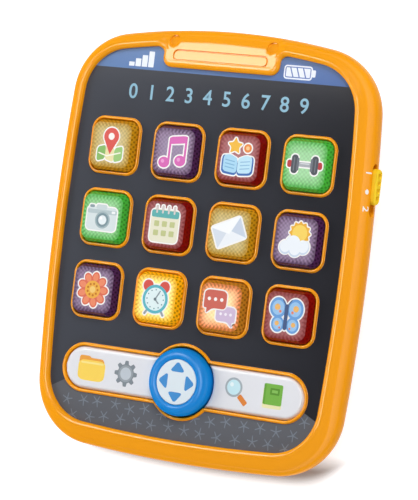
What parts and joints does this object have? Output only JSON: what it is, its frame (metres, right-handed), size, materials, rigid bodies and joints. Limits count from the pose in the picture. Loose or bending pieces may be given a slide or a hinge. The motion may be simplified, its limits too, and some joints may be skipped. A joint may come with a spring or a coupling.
{
  "type": "toy tablet",
  "caption": "Toy tablet with a bright two-shell case, a grid of lit push buttons, a dock with a round navigation button, a side switch and a screwed battery door.",
  "frame": {"origin": "middle of the flat back that the tablet rests on", "axes": "+X to the right across the screen, +Y toward the top edge, +Z out of the screen"},
  "size_m": [0.1518, 0.185, 0.0275],
  "materials": {
    "orange_shell": "glossy moulded ABS",
    "printed_faceplate": "printed satin film",
    "white_plastic": "glossy moulded ABS",
    "blue_plastic": "glossy moulded ABS",
    "yellow_plastic": "glossy moulded ABS",
    "black_plastic": "matte",
    "plated_steel": "nickel plated",
    "silicone": "matte silicone rubber",
    "board_laminate": "green solder mask",
    "led_lens": "clear epoxy",
    "cell_jacket": "plain printed sleeve",
    "wire_jacket": "PVC jacket",
    "black_paper": "pressed paper",
    "magnet": "plain",
    "cap_amber": "tinted translucent plastic",
    "cap_violet": "tinted translucent plastic",
    "cap_crimson": "tinted translucent plastic",
    "cap_green": "tinted translucent plastic",
    "cap_sunny": "tinted translucent plastic",
    "cap_coral": "tinted translucent plastic"
  },
  "bodies": {
    "case": {"front_case": "orange_shell", "rear_case": "orange_shell", "faceplate": "printed_faceplate", "dock_panel": "white_plastic", "slide_switch": "plated_steel", "rubber_keypad": "silicone", "nav_dome": "silicone", "circuit_board": "board_laminate", "controller_chip": "black_plastic", "capacitors": "black_plastic", "button_leds": "led_lens", "battery_1": "cell_jacket", "battery_2": "cell_jacket", "contact_bridge": "plated_steel", "contact_plus": "plated_steel", "contact_minus": "plated_steel", "battery_wires": "wire_jacket", "speaker_frame": "plated_steel", "speaker_cone": "black_paper", "speaker_magnet": "magnet", "speaker_wires": "wire_jacket", "case_screws": "plated_steel", "board_screws": "plated_steel", "rubber_dome_1": "silicone", "rubber_dome_2": "silicone", "rubber_dome_3": "silicone", "rubber_dome_4": "silicone", "rubber_dome_5": "silicone", "rubber_dome_6": "silicone", "rubber_dome_7": "silicone", "rubber_dome_8": "silicone", "rubber_dome_9": "silicone", "rubber_dome_10": "silicone", "rubber_dome_11": "silicone", "rubber_dome_12": "silicone"},
    "app_button_1": {"app_button_1": "cap_amber"},
    "app_button_2": {"app_button_2": "cap_violet"},
    "app_button_3": {"app_button_3": "cap_crimson"},
    "app_button_4": {"app_button_4": "cap_green"},
    "app_button_5": {"app_button_5": "cap_green"},
    "app_button_6": {"app_button_6": "cap_crimson"},
    "app_button_7": {"app_button_7": "cap_amber"},
    "app_button_8": {"app_button_8": "cap_violet"},
    "app_button_9": {"app_button_9": "cap_violet"},
    "app_button_10": {"app_button_10": "cap_sunny"},
    "app_button_11": {"app_button_11": "cap_coral"},
    "app_button_12": {"app_button_12": "cap_crimson"},
    "nav_button": {"nav_button": "blue_plastic", "nav_inlay": "white_plastic"},
    "side_slider": {"slider_knob": "yellow_plastic", "switch_lever": "black_plastic"},
    "battery_door": {"battery_door": "orange_shell"},
    "door_screw": {"door_screw": "plated_steel"}
  },
  "joints": [
    {"name": "press_1", "type": "slide", "parent": "case", "child": "app_button_1", "axis": [0, 0, -1], "range_m": [0, 0.0015], "stiffness_N_per_m": 400, "springref_m": -0.0005, "deforming": ["rubber_dome_1"]},
    {"name": "press_2", "type": "slide", "parent": "case", "child": "app_button_2", "axis": [0, 0, -1], "range_m": [0, 0.0015], "stiffness_N_per_m": 400, "springref_m": -0.0005, "deforming": ["rubber_dome_2"]},
    {"name": "press_3", "type": "slide", "parent": "case", "child": "app_button_3", "axis": [0, 0, -1], "range_m": [0, 0.0015], "stiffness_N_per_m": 400, "springref_m": -0.0005, "deforming": ["rubber_dome_3"]},
    {"name": "press_4", "type": "slide", "parent": "case", "child": "app_button_4", "axis": [0, 0, -1], "range_m": [0, 0.0015], "stiffness_N_per_m": 400, "springref_m": -0.0005, "deforming": ["rubber_dome_4"]},
    {"name": "press_5", "type": "slide", "parent": "case", "child": "app_button_5", "axis": [0, 0, -1], "range_m": [0, 0.0015], "stiffness_N_per_m": 400, "springref_m": -0.0005, "deforming": ["rubber_dome_5"]},
    {"name": "press_6", "type": "slide", "parent": "case", "child": "app_button_6", "axis": [0, 0, -1], "range_m": [0, 0.0015], "stiffness_N_per_m": 400, "springref_m": -0.0005, "deforming": ["rubber_dome_6"]},
    {"name": "press_7", "type": "slide", "parent": "case", "child": "app_button_7", "axis": [0, 0, -1], "range_m": [0, 0.0015], "stiffness_N_per_m": 400, "springref_m": -0.0005, "deforming": ["rubber_dome_7"]},
    {"name": "press_8", "type": "slide", "parent": "case", "child": "app_button_8", "axis": [0, 0, -1], "range_m": [0, 0.0015], "stiffness_N_per_m": 400, "springref_m": -0.0005, "deforming": ["rubber_dome_8"]},
    {"name": "press_9", "type": "slide", "parent": "case", "child": "app_button_9", "axis": [0, 0, -1], "range_m": [0, 0.0015], "stiffness_N_per_m": 400, "springref_m": -0.0005, "deforming": ["rubber_dome_9"]},
    {"name": "press_10", "type": "slide", "parent": "case", "child": "app_button_10", "axis": [0, 0, -1], "range_m": [0, 0.0015], "stiffness_N_per_m": 400, "springref_m": -0.0005, "deforming": ["rubber_dome_10"]},
    {"name": "press_11", "type": "slide", "parent": "case", "child": "app_button_11", "axis": [0, 0, -1], "range_m": [0, 0.0015], "stiffness_N_per_m": 400, "springref_m": -0.0005, "deforming": ["rubber_dome_11"]},
    {"name": "press_12", "type": "slide", "parent": "case", "child": "app_button_12", "axis": [0, 0, -1], "range_m": [0, 0.0015], "stiffness_N_per_m": 400, "springref_m": -0.0005, "deforming": ["rubber_dome_12"]},
    {"name": "press_nav", "type": "slide", "parent": "case", "child": "nav_button", "axis": [0, 0, -1], "range_m": [0, 0.0015], "stiffness_N_per_m": 400, "springref_m": -0.0005, "deforming": ["nav_dome"]},
    {"name": "slide_switch", "type": "slide", "parent": "case", "child": "side_slider", "axis": [0, -1, 0], "range_m": [0, 0.0046]},
    {"name": "battery_door_hinge", "type": "hinge", "parent": "case", "child": "battery_door", "pos_m": [-0.0296, 0.0631, 0.0011], "axis": [0, 1, 0], "range_deg": [0, 70]},
    {"name": "door_screw_turn", "type": "hinge", "parent": "battery_door", "child": "door_screw", "pos_m": [0.0312, 0.0631, 0.0025], "axis": [0, 0, 1], "continuous": true}
  ]
}
